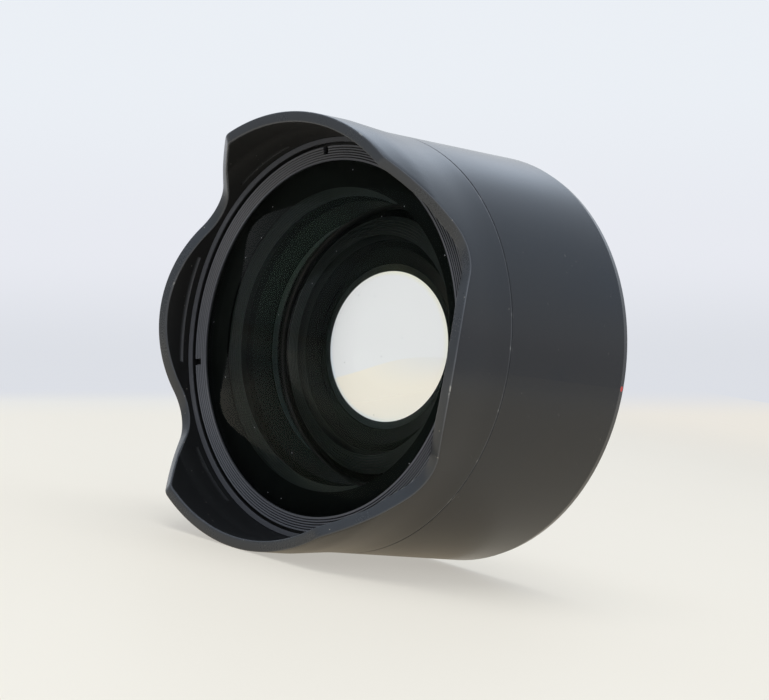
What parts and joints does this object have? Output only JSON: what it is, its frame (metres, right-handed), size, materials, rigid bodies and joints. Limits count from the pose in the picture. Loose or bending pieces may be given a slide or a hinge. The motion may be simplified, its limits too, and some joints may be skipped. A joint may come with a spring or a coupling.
{
  "type": "wide-angle conversion lens",
  "caption": "Round front converter lens with a petal hood, a domed front glass, and a rear bayonet socket with a sprung lock pin and a thumb release.",
  "frame": {"origin": "centre of the mounting flange, the rear face of the bayonet ring", "axes": "+Y along the optical axis towards the rear, so the petals point to -Y; +Z towards the middle of one tall petal, as when the lens is in use; +X towards the index dot, with the release slider on the -X side"},
  "size_m": [0.0802, 0.0538, 0.0804],
  "materials": {
    "satin_black": "satin black anodised",
    "worn_black": "black anodised, rubbed grey at the edge",
    "ring_black": "fine turned, black anodised",
    "flat_black": "flat black",
    "coated_glass": "polished, with a green anti-reflection coating",
    "black_rubber": "moulded",
    "black_felt": "felt",
    "mount_metal": "bright satin plating",
    "bare_brass": "rolled",
    "spring_steel": "bright",
    "screw_steel": "blackened",
    "red_mark": "red enamel"
  },
  "bodies": {
    "lens": {"petal_hood": "satin_black", "outer_barrel": "satin_black", "index_dot": "red_mark", "main_barrel": "satin_black", "front_cell": "worn_black", "front_seal": "black_rubber", "front_retaining_ring": "ring_black", "front_element": "coated_glass", "light_baffle": "flat_black", "shim_ring": "bare_brass", "rear_cell": "flat_black", "doublet_retaining_ring": "flat_black", "doublet_front_element": "coated_glass", "doublet_rear_element": "coated_glass", "rear_element": "coated_glass", "rear_retaining_ring": "ring_black", "rear_cover": "flat_black", "cushion_ring": "black_felt", "bayonet_ring": "mount_metal", "bayonet_springs": "spring_steel", "lock_spring": "spring_steel", "hood_screws": "screw_steel", "cell_set_screws": "screw_steel", "cell_screws": "screw_steel", "bayonet_screws": "screw_steel"},
    "release": {"release_slider": "satin_black", "slider_carrier": "mount_metal", "slider_screw": "screw_steel", "lock_pin": "spring_steel"}
  },
  "joints": [
    {"name": "release_slide", "type": "slide", "parent": "lens", "child": "release", "axis": [0, -1, 0], "range_m": [0, 0.0022], "stiffness_N_per_m": 300, "springref_m": -0.001, "deforming": ["lock_spring"]}
  ]
}
